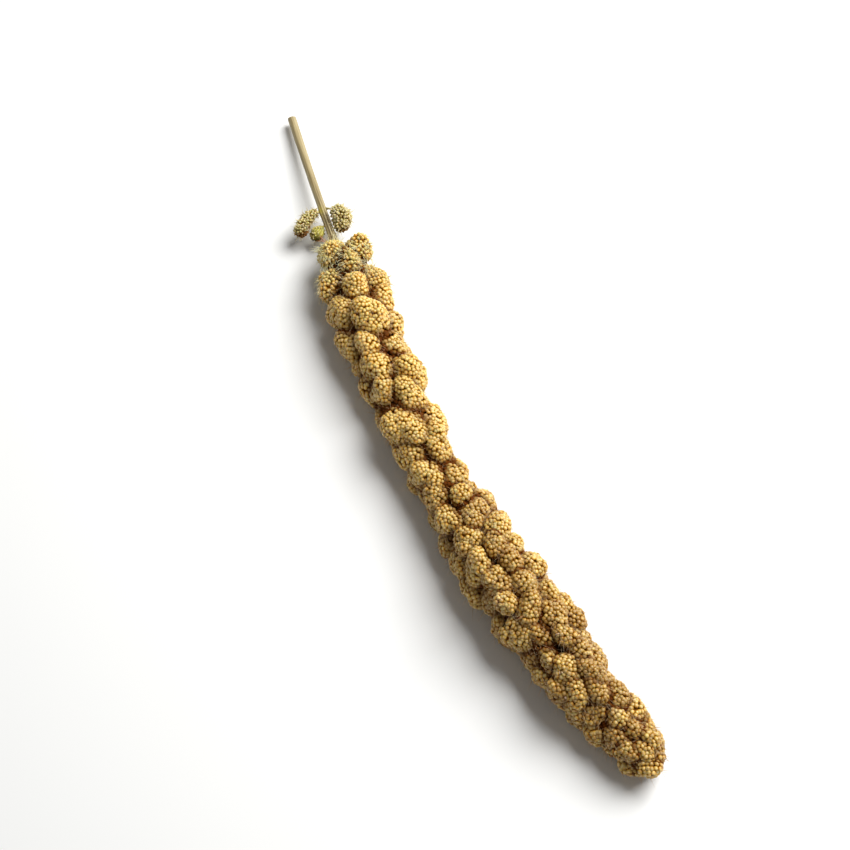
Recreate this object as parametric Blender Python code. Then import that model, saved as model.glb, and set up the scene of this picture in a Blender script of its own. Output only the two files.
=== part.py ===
# A dried head of foxtail millet with its cut stem, lying on a flat surface.
# Metres, +Z up. The stem's cut end points to +Y and the head's tip to -Y.
import math

import bmesh
import bpy
import numpy as np
from mathutils.bvhtree import BVHTree

# Driving dimensions
HEAD_LENGTH = 0.290
STEM_LENGTH = 0.085  # what is bare, from the cut to the head
STEM_IN_HEAD = 0.014
STEM_CUT_RADIUS = 0.00215
STEM_HEAD_RADIUS = 0.00190
STEM_RINGS = 20
STEM_SIDES = 12
CLEARANCE = 0.0003  # between two pieces that meet

# Plan of the centreline: its heading turns from -Y towards +X on the way to the tip
CUT_END = (0.0188, 0.1870)
START_HEADING = math.radians(-10.5)
TURN = math.radians(27.0)
TURN_POWER = 1.7
STEP = 0.001

# The head's outer radius along its length, as fractions of the length
RADIUS_AT = (0.0, 0.15, 0.30, 0.47, 0.60, 0.70, 0.82, 0.90, 1.0)
HEAD_RADIUS = (0.0135, 0.0158, 0.0150, 0.0138, 0.0170, 0.0178, 0.0156, 0.0136, 0.0098)
CAP_RADIUS = 0.0105  # of the round end at the tip
SINK = 0.0015  # how far the outer radius would reach below the resting plane
REST_DEPTH = 0.0005  # how deep the lowest lobes are cut flat where they rest
CUT_END_HEIGHT = 0.0042
TIP_LIFT = (0.00045, 0.0015)  # of the centre, at the last two radii
SMOOTHING = 0.024

# Lobes of seed, set round the axis by the golden angle and then pushed apart. Distances between
# neighbours and half-widths are in pitches; the spreads are how far a lobe strays from the rule.
GOLDEN_ANGLE = math.pi * (3 - math.sqrt(5))
PITCH_AT = (0.0, 0.35, 0.50, 0.70, 0.85, 1.0)
LOBE_PITCH = (0.0139, 0.0135, 0.0126, 0.0112, 0.0100, 0.0086)
APART_AT = (0.0, 0.50, 0.72, 1.0)
LOBES_APART = (0.99, 1.00, 0.96, 0.94)
PACKING = 0.86  # ground covered by a lobe, in squared distances between neighbours
FIRST_LOBE = 0.003
PUSH_ROUNDS = 40
PUSH_SHARE = 0.25
LOBE_ACROSS = 0.50
LOBE_ALONG = 0.53
LOBE_OUT = 0.57
BASE_TILT = math.radians(2)
LOBE_TILT = math.radians(20)
TILTED_FROM = 0.025  # from the head's base
PLACE_SPREAD = 0.0016
TURN_SPREAD = 0.22
SIZE_SPREAD = 0.18
STRETCH = 0.35
TWIST_SPREAD = 1.1
TILT_SPREAD = 0.16
OUT_SPREAD = 0.10
SUB_LOBE_SHARE = 0.40
SUB_LOBE_SIZE = 0.56
SUB_LOBE_ASIDE = 0.62  # from the lobe's centre, in its half-widths
SUB_LOBE_OUT = 0.42
CORE_RADIUS = 0.50  # of the head's outer radius
CORE_START = 0.003
CORE_END = 0.280
CORE_RINGS = 22
SEED = 7

# Small clusters of seed on branchlets that leave the stem just above the head. Each path runs from the
# stem's axis to the cluster's far end, as distances before the head's base, to the side and up. The balls
# sit along its last part, from the first share to its end.
BRANCHLET_RADIUS = 0.00055
BRANCHLET_RINGS = 7
BRANCHLET_SIDES = 6
HOLE_RADIUS = BRANCHLET_RADIUS + 1.2 * CLEARANCE
HOLE_SIDES = 8
HOLE_BEYOND = 0.03  # of the path, past the branchlet's end
SIDE_CLUSTERS = {
    "side_cluster_left": {
        "path": ((0.0248, 0, 0), (0.0250, -0.0050, 0.0014), (0.0222, -0.0100, 0.0012),
                 (0.0172, -0.0134, 0)),
        "first": 0.32,
        "held_to": 0.46,
        "radii": (0.0016, 0.0021, 0.0025, 0.0029, 0.0028),
        "triangles": 150,
    },
    "side_cluster_right": {
        "path": ((0.0262, 0, 0), (0.0235, 0.0050, 0.0030), (0.0170, 0.0095, 0.0040),
                 (0.0130, 0.0062, 0.0020)),
        "first": 0.56,
        "held_to": 0.62,
        "radii": (0.0033, 0.0041, 0.0032),
        "triangles": 150,
    },
    "side_cluster_behind": {
        "path": ((0.0172, 0, 0), (0.0158, -0.0034, -0.0012), (0.0136, -0.0070, -0.0024)),
        "first": 0.72,
        "held_to": 0.80,
        "radii": (0.0020, 0.0022),
        "triangles": 80,
    },
}

# Grains, larger than life: low pyramids over the whole surface, with grooves between them
SKIN_DETAIL = 0.0012  # the fused lobes are evened out to this detail before the grains are raised
CLUSTER_DETAIL = 0.0005
SKIN_TRIANGLES = 3600
GRAIN_HEIGHT = 0.16  # of the distance between grains
GROOVE_DEPTH = 0.10
EVENING_ROUNDS = 24
EVERY_WAY = {"use_axis_x": True, "use_axis_y": True, "use_axis_z": True}

STRAW = (0.38, 0.30, 0.17)
GOLD = (0.42, 0.26, 0.09)
GREENISH = (0.30, 0.22, 0.07)


def clear_scene():
    for item in list(bpy.data.objects):
        bpy.data.objects.remove(item)


def material(name, colour, roughness):
    made = bpy.data.materials.new(name)
    made.use_nodes = True
    shader = made.node_tree.nodes["Principled BSDF"]
    shader.inputs["Base Color"].default_value = (*colour, 1)
    shader.inputs["Roughness"].default_value = roughness
    shader.inputs["Metallic"].default_value = 0
    return made


def smooth_curve(s, at, values):
    """Values along s between the given ones, with the corners averaged over SMOOTHING."""
    window = np.hanning(2 * round(SMOOTHING / STEP) + 1)
    reach = len(window) // 2
    fine = np.arange(-STEM_LENGTH - SMOOTHING, HEAD_LENGTH + SMOOTHING, STEP)
    padded = np.pad(np.interp(fine, at, values), reach, mode="edge")
    return np.interp(s, fine, np.convolve(padded, window / window.sum(), "valid"))


def head_radius(s):
    return smooth_curve(s, np.array(RADIUS_AT) * HEAD_LENGTH, HEAD_RADIUS)


def lobe_pitch(s):
    return np.interp(s, np.array(PITCH_AT) * HEAD_LENGTH, LOBE_PITCH)


def lobe_spacing(s):
    return lobe_pitch(s) * np.interp(s, np.array(APART_AT) * HEAD_LENGTH, LOBES_APART)


def axis_height(s):
    """The centre's height: the head lies on its lowest lobes and the stem droops to its cut end."""
    at = np.array((-STEM_LENGTH, 0, *(np.array(RADIUS_AT[1:]) * HEAD_LENGTH)))
    rest = np.array(HEAD_RADIUS) - SINK
    rest[-2:] += TIP_LIFT
    return smooth_curve(s, at, (CUT_END_HEIGHT, *rest))


def axis_at(s):
    """Centre, side (to +X), up and forward directions at distances s from the head's base to its tip."""
    s = np.atleast_1d(np.asarray(s, float))
    fine = np.arange(-STEM_LENGTH, HEAD_LENGTH + STEP, STEP)
    share = (fine + STEM_LENGTH) / (STEM_LENGTH + HEAD_LENGTH)
    heading = START_HEADING + TURN * share**TURN_POWER
    path_x = CUT_END[0] + np.cumsum(np.sin(heading)) * STEP
    path_y = CUT_END[1] - np.cumsum(np.cos(heading)) * STEP
    heading_here = np.interp(s, fine, heading)
    slope = (axis_height(s + STEP) - axis_height(s - STEP)) / (2 * STEP)
    centre = np.column_stack([np.interp(s, fine, path_x), np.interp(s, fine, path_y), axis_height(s)])
    forward = np.column_stack([np.sin(heading_here), -np.cos(heading_here), slope])
    forward /= np.linalg.norm(forward, axis=1, keepdims=True)
    side = np.column_stack([np.cos(heading_here), np.sin(heading_here), np.zeros_like(s)])
    return centre, side, np.cross(forward, side), forward


def lobe_places():
    """Where along the head each lobe sits: as many as its surface has room for."""
    fine = np.arange(FIRST_LOBE, HEAD_LENGTH, STEP / 4)
    ring = 2 * math.pi * (head_radius(fine) - LOBE_OUT * lobe_pitch(fine))
    counted = np.cumsum(np.maximum(ring, 0) / (PACKING * lobe_spacing(fine) ** 2)) * STEP / 4
    return np.interp(np.arange(int(counted[-1]) + 1) + 0.5, counted, fine)


def pushed_apart(s, turn, size):
    """Lobes moved away from near neighbours over the unrolled surface until they hardly overlap."""
    first, last = s.min(), s.max()
    for _ in range(PUSH_ROUNDS):
        away = head_radius(s) - LOBE_OUT * lobe_pitch(s)
        ahead = s[:, None] - s
        aside = (turn[:, None] - turn + math.pi) % (2 * math.pi) - math.pi
        aside = aside * (away[:, None] + away) / 2
        gap = np.hypot(ahead, aside) + 1e-9
        own = lobe_spacing(s) * size / 2
        push = np.maximum(own[:, None] + own - gap, 0) / gap * PUSH_SHARE
        np.fill_diagonal(push, 0)
        s = np.clip(s + (push * ahead).sum(axis=1), first, last)
        turn = turn + (push * aside).sum(axis=1) / away
    return s, turn


def lobe_directions(s, turn, tilt, cap):
    """Centre of the axis, outward line and turned frame (across, along, outwards) of each lobe."""
    centre, side, up, forward = axis_at(s)
    around = side * np.cos(turn)[:, None] + up * np.sin(turn)[:, None]
    radial = around * np.cos(cap)[:, None] + forward * np.sin(cap)[:, None]
    outward = around * np.cos(tilt)[:, None] + forward * np.sin(tilt)[:, None]
    along = forward * np.cos(tilt)[:, None] - around * np.sin(tilt)[:, None]
    return centre, radial, np.cross(along, outward), along, outward


def lobes():
    """Each lobe's centre and its 3 x 3 matrix of half-axes: across, along and outwards in its rows."""
    draw = np.random.default_rng(SEED)
    s = lobe_places()
    count = len(s)
    s = s + draw.uniform(-1, 1, count) * PLACE_SPREAD
    turn = np.arange(count) * GOLDEN_ANGLE + draw.uniform(-1, 1, count) * TURN_SPREAD
    size = 1 + draw.uniform(-1, 1, count) * SIZE_SPREAD
    s, turn = pushed_apart(s, turn, size)
    longer = 1 + STRETCH * draw.uniform(0, 1, count) ** 2
    twist = draw.uniform(-1, 1, count)[:, None] * TWIST_SPREAD
    cap_start = HEAD_LENGTH - CAP_RADIUS
    cap = np.arcsin(np.clip((s - cap_start) / CAP_RADIUS, 0, 1))
    tilt = BASE_TILT + (LOBE_TILT - BASE_TILT) * np.clip(s / TILTED_FROM, 0, 1)
    tilt = tilt + draw.uniform(-1, 1, count) * TILT_SPREAD
    tilt = tilt + (math.pi / 2 - tilt) * cap / (math.pi / 2)
    s = np.minimum(s, cap_start)
    centre, radial, across, along, outward = lobe_directions(s, turn, tilt, cap)
    turned = (across * np.cos(twist) - along * np.sin(twist),
              along * np.cos(twist) + across * np.sin(twist))
    half = np.stack([LOBE_ACROSS / longer**0.5, LOBE_ALONG * longer, np.full(count, LOBE_OUT)], 1)
    half = half * (lobe_pitch(s) * size)[:, None]
    axes = np.stack([*turned, outward], 1) * half[:, :, None]
    reach = np.linalg.norm(np.einsum("ijk,ik->ij", axes, radial), axis=1)
    out = head_radius(s) * (1 + draw.uniform(-1, 1, count) * OUT_SPREAD) - reach
    centre = centre + radial * np.maximum(out, 0)[:, None]
    half_height = np.linalg.norm(axes[:, :, 2], axis=1)
    centre[:, 2] = np.maximum(centre[:, 2], half_height - REST_DEPTH)
    return centre, axes


def sub_lobes(centres, axes):
    """Smaller lobes on the flanks of some lobes, which make those look double."""
    draw = np.random.default_rng(SEED + 1)
    chosen = np.flatnonzero(draw.uniform(0, 1, len(centres)) < SUB_LOBE_SHARE)
    angle = draw.uniform(0, 2 * math.pi, len(chosen))
    aside = np.stack([np.cos(angle), np.sin(angle)], 1) * SUB_LOBE_ASIDE
    lean = np.column_stack([aside, np.full(len(chosen), SUB_LOBE_OUT)])
    moved = centres[chosen] + np.einsum("ij,ijk->ik", lean, axes[chosen])
    return moved, axes[chosen] * SUB_LOBE_SIZE


def mesh_object(name, points, faces, collection=None):
    mesh = bpy.data.meshes.new(name)
    mesh.from_pydata(np.asarray(points).tolist(), [], np.asarray(faces).tolist())
    made = bpy.data.objects.new(name, mesh)
    (collection or bpy.context.scene.collection).objects.link(made)
    return made


def tube(points, radii, sides):
    """Vertices and faces of a closed tube along the points, with a flat cap at each end."""
    points = np.asarray(points, float)
    tangent = np.gradient(points, axis=0)
    tangent /= np.linalg.norm(tangent, axis=1, keepdims=True)
    right = np.cross(tangent, (0, 0, 1))
    right /= np.linalg.norm(right, axis=1, keepdims=True)
    above = np.cross(right, tangent)
    angle = np.arange(sides) * 2 * math.pi / sides
    ring = np.cos(angle)[:, None] * right[:, None] + np.sin(angle)[:, None] * above[:, None]
    rings = points[:, None] + ring * np.asarray(radii, float)[:, None, None]
    first = np.arange(len(points) - 1)[:, None] * sides + np.arange(sides)[None]
    after = np.arange(len(points) - 1)[:, None] * sides + (np.arange(sides)[None] + 1) % sides
    walls = np.stack([first, first + sides, after + sides, after], 2).reshape(-1, 4).tolist()
    last = (len(points) - 1) * sides
    caps = [list(range(sides)), list(range(last + sides - 1, last - 1, -1))]
    return rings.reshape(-1, 3), walls + caps


def faces_outwards(made):
    shape = bmesh.new()
    shape.from_mesh(made.data)
    bmesh.ops.recalc_face_normals(shape, faces=shape.faces)
    shape.to_mesh(made.data)
    shape.free()


def tube_object(name, points, radii, sides, collection=None):
    vertices, faces = tube(points, radii, sides)
    mesh = bpy.data.meshes.new(name)
    mesh.from_pydata(vertices.tolist(), [], faces)
    made = bpy.data.objects.new(name, mesh)
    (collection or bpy.context.scene.collection).objects.link(made)
    faces_outwards(made)
    return made


def ball_mesh(centre, axes):
    """Vertices and faces of a ball stretched to three half-axes."""
    shape = bmesh.new()
    bmesh.ops.create_icosphere(shape, subdivisions=3, radius=1)
    points = centre + np.array([v.co for v in shape.verts]) @ axes
    order = -1 if np.linalg.det(axes) < 0 else 1
    faces = [[v.index for v in f.verts][::order] for f in shape.faces]
    shape.free()
    return points, faces


def lobe_objects(name, centres, axes, collection):
    for index, (centre, own_axes) in enumerate(zip(centres, axes)):
        mesh_object(f"{name}_{index}", *ball_mesh(centre, own_axes), collection)


def applied(made):
    """Makes the object's evaluated mesh its own and drops the modifiers."""
    bpy.context.view_layer.update()
    evaluated = made.evaluated_get(bpy.context.evaluated_depsgraph_get())
    mesh = bpy.data.meshes.new_from_object(evaluated)
    made.modifiers.clear()
    made.data = mesh


def fuse(made, collection):
    """Joins everything in the collection to the object with one union, then removes the collection."""
    union = made.modifiers.new("fuse", "BOOLEAN")
    union.operation = "UNION"
    union.operand_type = "COLLECTION"
    union.collection = collection
    union.solver = "EXACT"
    applied(made)
    for item in list(collection.objects):
        bpy.data.objects.remove(item)
    bpy.data.collections.remove(collection)


def keep_outer_shell(made):
    """Drops the shells of sealed hollows and loose scraps, so that one closed surface is left."""
    shape = bmesh.new()
    shape.from_mesh(made.data)
    shape.verts.ensure_lookup_table()
    unseen = set(shape.verts)
    shells = []
    while unseen:
        shell = {unseen.pop()}
        front = list(shell)
        while front:
            near = {e.other_vert(v) for v in front for e in v.link_edges} - shell
            shell |= near
            front = list(near)
        unseen -= shell
        shells.append(shell)
    shells.sort(key=len)
    for shell in shells[:-1]:
        bmesh.ops.delete(shape, geom=list(shell), context="VERTS")
    shape.to_mesh(made.data)
    shape.free()


def evened_skin(made, detail, triangles):
    """The fused surface as about this many triangles of like size, and the fine surface they lie on."""
    remesh = made.modifiers.new("even", "REMESH")
    remesh.mode = "VOXEL"
    remesh.voxel_size = detail
    applied(made)
    keep_outer_shell(made)
    fine = bmesh.new()
    fine.from_mesh(made.data)
    surface = BVHTree.FromBMesh(fine)
    thin = made.modifiers.new("thin", "DECIMATE")
    thin.ratio = triangles / (2 * len(made.data.polygons))
    thin.use_collapse_triangulate = True
    applied(made)
    shape = bmesh.new()
    shape.from_mesh(made.data)
    bmesh.ops.triangulate(shape, faces=shape.faces)
    for turn in range(EVENING_ROUNDS):
        if turn % 4 == 3:
            bmesh.ops.beautify_fill(shape, faces=shape.faces, edges=shape.edges, method="ANGLE")
        bmesh.ops.smooth_vert(shape, verts=shape.verts, factor=0.5, **EVERY_WAY)
        for vertex in shape.verts:
            vertex.co = surface.find_nearest(vertex.co)[0]
    fine.free()
    return shape, surface


def raise_grains(made, detail, triangles):
    """Raises a grain over each vertex: a pyramid whose foot runs through grooves in the faces round it."""
    shape, surface = evened_skin(made, detail, triangles)
    shape.normal_update()
    shape.verts.index_update()
    points = np.array([v.co for v in shape.verts])
    normals = np.array([v.normal for v in shape.verts])
    faces = np.array([[v.index for v in f.verts] for f in shape.faces])
    face_normals = np.array([f.normal for f in shape.faces])
    middles = np.array([surface.find_nearest(f.calc_center_median())[0] for f in shape.faces])
    shape.free()
    count = len(points)
    start, end = faces.ravel(), np.roll(faces, -1, axis=1).ravel()
    edge = points[end] - points[start]
    length = np.linalg.norm(edge, axis=1)
    spacing = np.bincount(start, length, count) / np.bincount(start, minlength=count)
    tops = points + normals * spacing[:, None] * GRAIN_HEIGHT
    face_size = length.reshape(-1, 3).mean(axis=1, keepdims=True)
    grooves = middles - face_normals * face_size * GROOVE_DEPTH
    left = np.repeat(np.arange(len(faces)), 3)
    order = np.argsort(start * count + end)
    right = left[order][np.searchsorted((start * count + end)[order], end * count + start)]
    triangles = np.stack([start, count + right, count + left], 1)
    mesh = bpy.data.meshes.new(made.name)
    mesh.from_pydata(np.concatenate([tops, grooves]).tolist(), [], triangles.tolist())
    made.data = mesh


def cutter(made):
    made.hide_render = True
    made.display_type = "WIRE"
    return made


def cut(made, tool):
    difference = made.modifiers.new(tool.name, "BOOLEAN")
    difference.operation = "DIFFERENCE"
    difference.object = tool
    difference.solver = "EXACT"


def floor_cutter():
    """A block whose top is the resting plane, for the flat spots under the lowest lobes."""
    side = 2 * HEAD_LENGTH
    bpy.ops.mesh.primitive_cube_add(size=side, location=(0, 0, -side / 2))
    block = bpy.context.object
    block.name = "floor_cutter"
    return cutter(block)


def new_collection(name):
    made = bpy.data.collections.new(name)
    bpy.context.scene.collection.children.link(made)
    return made


def make_seed_head(finish):
    parts = new_collection("lobes")
    s = np.linspace(CORE_START, CORE_END, CORE_RINGS)
    head = tube_object("seed_head", axis_at(s)[0], head_radius(s) * CORE_RADIUS, STEM_SIDES)
    centres, axes = lobes()
    small_centres, small_axes = sub_lobes(centres, axes)
    lobe_objects("lobe", centres, axes, parts)
    lobe_objects("sub_lobe", small_centres, small_axes, parts)
    fuse(head, parts)
    raise_grains(head, SKIN_DETAIL, SKIN_TRIANGLES)
    cut(head, floor_cutter())
    s = np.linspace(-STEM_IN_HEAD, STEM_IN_HEAD + CLEARANCE, STEM_RINGS)
    radii = np.full(STEM_RINGS, STEM_HEAD_RADIUS + 2 * CLEARANCE)
    cut(head, cutter(tube_object("stem_hole_cutter", axis_at(s)[0], radii, STEM_SIDES)))
    head.data.materials.append(finish)


def branch_points(path, shares):
    """Points on the Bezier curve whose control points are the path's, at these shares of its way."""
    order = len(path) - 1
    weights = [math.comb(order, k) * shares**k * (1 - shares) ** (order - k) for k in range(order + 1)]
    before, aside, above = (np.stack(weights, 1) @ np.array(path)).T
    centre, side, up, _ = axis_at(-before)
    return centre + side * aside[:, None] + up * above[:, None]


def make_stem(finish):
    s = np.linspace(-STEM_LENGTH, STEM_IN_HEAD, STEM_RINGS)
    radii = np.interp(s, (-STEM_LENGTH, 0), (STEM_CUT_RADIUS, STEM_HEAD_RADIUS))
    stem = tube_object("stem", axis_at(s)[0], radii, STEM_SIDES)
    branchlets = new_collection("branchlets")
    for name, cluster in SIDE_CLUSTERS.items():
        points = branch_points(cluster["path"], np.linspace(0, cluster["held_to"], BRANCHLET_RINGS))
        radii = np.full(BRANCHLET_RINGS, BRANCHLET_RADIUS)
        tube_object(f"{name}_branchlet", points, radii, BRANCHLET_SIDES, branchlets)
    fuse(stem, branchlets)
    stem.data.materials.append(finish)


def make_side_cluster(name, finish):
    """Balls of seed along the end of the path, fused, with a plain hole for the branchlet."""
    cluster = SIDE_CLUSTERS[name]
    radii = cluster["radii"]
    centres = branch_points(cluster["path"], np.linspace(cluster["first"], 1, len(radii)))
    made = mesh_object(name, *ball_mesh(centres[0], np.eye(3) * radii[0]))
    parts = new_collection(f"{name}_balls")
    lobe_objects(f"{name}_ball", centres[1:], np.eye(3) * np.array(radii[1:])[:, None, None], parts)
    fuse(made, parts)
    raise_grains(made, CLUSTER_DETAIL, cluster["triangles"])
    shares = np.linspace(0, cluster["held_to"] + HOLE_BEYOND, BRANCHLET_RINGS)
    points = branch_points(cluster["path"], shares)
    hole = tube_object(f"{name}_hole_cutter", points, np.full(BRANCHLET_RINGS, HOLE_RADIUS), HOLE_SIDES)
    cut(made, cutter(hole))
    made.data.materials.append(finish)


def main():
    clear_scene()
    dried_seed = material("dried_seed", GOLD, 0.55)
    greenish_seed = material("greenish_seed", GREENISH, 0.55)
    make_stem(material("straw", STRAW, 0.5))
    make_seed_head(dried_seed)
    make_side_cluster("side_cluster_left", dried_seed)
    make_side_cluster("side_cluster_right", dried_seed)
    make_side_cluster("side_cluster_behind", greenish_seed)


main()
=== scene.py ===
# A dried head of foxtail millet, lying on a pale floor under a soft studio light.
# Metres, +Z up. The stem's cut end points to +Y and the head's tip to -Y.
import math
from functools import partial

import bpy
import numpy as np
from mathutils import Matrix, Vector


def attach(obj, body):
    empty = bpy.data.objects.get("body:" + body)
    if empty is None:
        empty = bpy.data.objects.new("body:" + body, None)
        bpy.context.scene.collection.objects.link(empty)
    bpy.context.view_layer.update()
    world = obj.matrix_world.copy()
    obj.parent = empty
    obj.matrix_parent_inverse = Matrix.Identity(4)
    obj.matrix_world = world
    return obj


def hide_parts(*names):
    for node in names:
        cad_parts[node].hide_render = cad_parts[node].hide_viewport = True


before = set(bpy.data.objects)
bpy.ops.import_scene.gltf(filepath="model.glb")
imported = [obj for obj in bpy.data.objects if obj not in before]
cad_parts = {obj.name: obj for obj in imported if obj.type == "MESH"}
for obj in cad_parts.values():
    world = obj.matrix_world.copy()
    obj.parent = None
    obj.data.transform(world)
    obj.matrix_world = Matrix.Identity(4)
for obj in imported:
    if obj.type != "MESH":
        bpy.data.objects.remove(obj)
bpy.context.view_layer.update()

fullTurn = 2 * math.pi
goldenAngle = math.pi * (3 - math.sqrt(5))
floorGap = 0.00002  # nothing comes nearer to the floor

# The head's centreline, thickness and lobes, with the same values and draws as its solid
head = {
    "length": 0.290,
    "stemLength": 0.085,
    "cutEnd": (0.0188, 0.1870),
    "cutEndHeight": 0.0042,
    "startHeading": math.radians(-10.5),
    "turn": math.radians(27.0),
    "turnPower": 1.7,
    "step": 0.001,
    "smoothing": 0.024,
    "radiusAt": (0.0, 0.15, 0.30, 0.47, 0.60, 0.70, 0.82, 0.90, 1.0),  # shares of the length
    "radius": (0.0135, 0.0158, 0.0150, 0.0138, 0.0170, 0.0178, 0.0156, 0.0136, 0.0098),
    "capRadius": 0.0105,
    "sink": 0.0015,
    "restDepth": 0.0005,
    "tipLift": (0.00045, 0.0015),
    "coreRadius": 0.50,  # share of the outer radius
    "seed": 7,
}

lobe = {
    "pitchAt": (0.0, 0.35, 0.50, 0.70, 0.85, 1.0),
    "pitch": (0.0139, 0.0135, 0.0126, 0.0112, 0.0100, 0.0086),
    "apartAt": (0.0, 0.50, 0.72, 1.0),
    "apart": (0.99, 1.00, 0.96, 0.94),  # distance between neighbours, in pitches
    "packing": 0.86,
    "first": 0.003,
    "pushRounds": 40,
    "pushShare": 0.25,
    "half": (0.50, 0.53, 0.57),  # half-widths across, along and outwards, in pitches
    "baseTilt": math.radians(2),
    "tilt": math.radians(20),
    "tiltedFrom": 0.025,
    "placeSpread": 0.0016,
    "turnSpread": 0.22,
    "sizeSpread": 0.18,
    "stretch": 0.35,
    "twistSpread": 1.1,
    "tiltSpread": 0.16,
    "outSpread": 0.10,
    "subShare": 0.40,
    "subSize": 0.56,
    "subAside": 0.62,
    "subOut": 0.42,
}


def unitRows(rows):
    return rows / np.linalg.norm(rows, axis=-1, keepdims=True)


def newDraw(number):
    return np.random.default_rng(head["seed"] + number)


def spread(draw, count, most):
    return draw.uniform(-1, 1, count) * most


def turned(first, second, angle):
    # the first direction turned by an angle towards the second
    return first * np.cos(angle)[:, None] + second * np.sin(angle)[:, None]


def alongBy(s, part, name):
    # a setting at distances s, from its values at shares of the head's length
    return np.interp(s, np.array(part[name + "At"]) * head["length"], part[name])


def smoothCurve(s, at, values):
    # straight lines between the given values, averaged over the smoothing distance
    step, smoothing = head["step"], head["smoothing"]
    window = np.hanning(2 * round(smoothing / step) + 1)
    fine = np.arange(-head["stemLength"] - smoothing, head["length"] + smoothing, step)
    padded = np.pad(np.interp(fine, at, values), len(window) // 2, mode="edge")
    return np.interp(s, fine, np.convolve(padded, window / window.sum(), "valid"))


def headRadius(s):
    return smoothCurve(s, np.array(head["radiusAt"]) * head["length"], head["radius"])


def lobePitch(s):
    return alongBy(s, lobe, "pitch")


def lobeSpacing(s):
    return lobePitch(s) * alongBy(s, lobe, "apart")


def axisHeight(s):
    at = np.array((-head["stemLength"], 0, *(np.array(head["radiusAt"][1:]) * head["length"])))
    rest = np.array(head["radius"]) - head["sink"]
    rest[-2:] += head["tipLift"]
    return smoothCurve(s, at, (head["cutEndHeight"], *rest))


def axisAt(s):
    # centre, side (to +X), up and forward directions at distances s from the head's base to its tip:
    # the heading turns by a power of the share of the way, and the plan is its sum over small steps
    s = np.atleast_1d(np.asarray(s, float))
    step, before = head["step"], head["stemLength"]
    fine = np.arange(-before, head["length"] + step, step)
    share = (fine + before) / (before + head["length"])
    heading = head["startHeading"] + head["turn"] * share ** head["turnPower"]
    pathX = head["cutEnd"][0] + np.cumsum(np.sin(heading)) * step
    pathY = head["cutEnd"][1] - np.cumsum(np.cos(heading)) * step
    here = np.interp(s, fine, heading)
    slope = (axisHeight(s + step) - axisHeight(s - step)) / (2 * step)
    centre = np.column_stack([np.interp(s, fine, pathX), np.interp(s, fine, pathY), axisHeight(s)])
    forward = unitRows(np.column_stack([np.sin(here), -np.cos(here), slope]))
    side = np.column_stack([np.cos(here), np.sin(here), np.zeros_like(s)])
    return centre, side, np.cross(forward, side), forward


def lobePlaces():
    # as many lobes along the head as its surface has room for
    step = head["step"] / 4
    fine = np.arange(lobe["first"], head["length"], step)
    ring = fullTurn * (headRadius(fine) - lobe["half"][2] * lobePitch(fine))
    density = np.maximum(ring, 0) / (lobe["packing"] * lobeSpacing(fine) ** 2)
    counted = np.cumsum(density) * step
    return np.interp(np.arange(int(counted[-1]) + 1) + 0.5, counted, fine)


def pushedApart(s, turn, size):
    # lobes moved away from near neighbours over the unrolled surface until they hardly overlap
    first, last = s.min(), s.max()
    for _ in range(lobe["pushRounds"]):
        away = headRadius(s) - lobe["half"][2] * lobePitch(s)
        ahead = s[:, None] - s
        aside = (turn[:, None] - turn + math.pi) % fullTurn - math.pi
        aside = aside * (away[:, None] + away) / 2
        gap = np.hypot(ahead, aside) + 1e-9
        own = lobeSpacing(s) * size / 2
        push = np.maximum(own[:, None] + own - gap, 0) / gap * lobe["pushShare"]
        np.fill_diagonal(push, 0)
        s = np.clip(s + (push * ahead).sum(axis=1), first, last)
        turn = turn + (push * aside).sum(axis=1) / away
    return s, turn


def makeLobes():
    # each lobe is a ball stretched to three half-axes, the rows of its matrix: across, along, outwards.
    # It leans towards the tip, and round the tip it points forwards.
    draw = newDraw(0)
    s = lobePlaces()
    count = len(s)
    s = s + spread(draw, count, lobe["placeSpread"])
    turn = np.arange(count) * goldenAngle + spread(draw, count, lobe["turnSpread"])
    size = 1 + spread(draw, count, lobe["sizeSpread"])
    s, turn = pushedApart(s, turn, size)
    longer = 1 + lobe["stretch"] * draw.uniform(0, 1, count) ** 2
    twist = spread(draw, count, lobe["twistSpread"])
    capStart = head["length"] - head["capRadius"]
    cap = np.arcsin(np.clip((s - capStart) / head["capRadius"], 0, 1))
    tilt = lobe["baseTilt"] + (lobe["tilt"] - lobe["baseTilt"]) * np.clip(s / lobe["tiltedFrom"], 0, 1)
    tilt = tilt + spread(draw, count, lobe["tiltSpread"])
    tilt = tilt + (math.pi / 2 - tilt) * cap / (math.pi / 2)
    s = np.minimum(s, capStart)
    centre, side, up, forward = axisAt(s)
    around = turned(side, up, turn)
    radial = turned(around, forward, cap)
    outward = turned(around, forward, tilt)
    along = turned(forward, -around, tilt)
    across = np.cross(along, outward)
    wide, long, out = lobe["half"]
    half = np.stack([wide / longer**0.5, long * longer, np.full(count, out)], 1)
    half = half * (lobePitch(s) * size)[:, None]
    axes = np.stack([turned(across, -along, twist), turned(along, across, twist), outward], 1)
    axes = axes * half[:, :, None]
    reach = np.linalg.norm(np.einsum("ijk,ik->ij", axes, radial), axis=1)
    out = headRadius(s) * (1 + spread(draw, count, lobe["outSpread"])) - reach
    centre = centre + radial * np.maximum(out, 0)[:, None]
    return onFloor(centre, axes), axes, turn


def onFloor(centres, axes):
    # lobes lifted until their balls reach no further into the floor than the head rests in it
    halfHeight = np.linalg.norm(axes[:, :, 2], axis=1)
    centres[:, 2] = np.maximum(centres[:, 2], halfHeight - head["restDepth"])
    return centres


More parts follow.
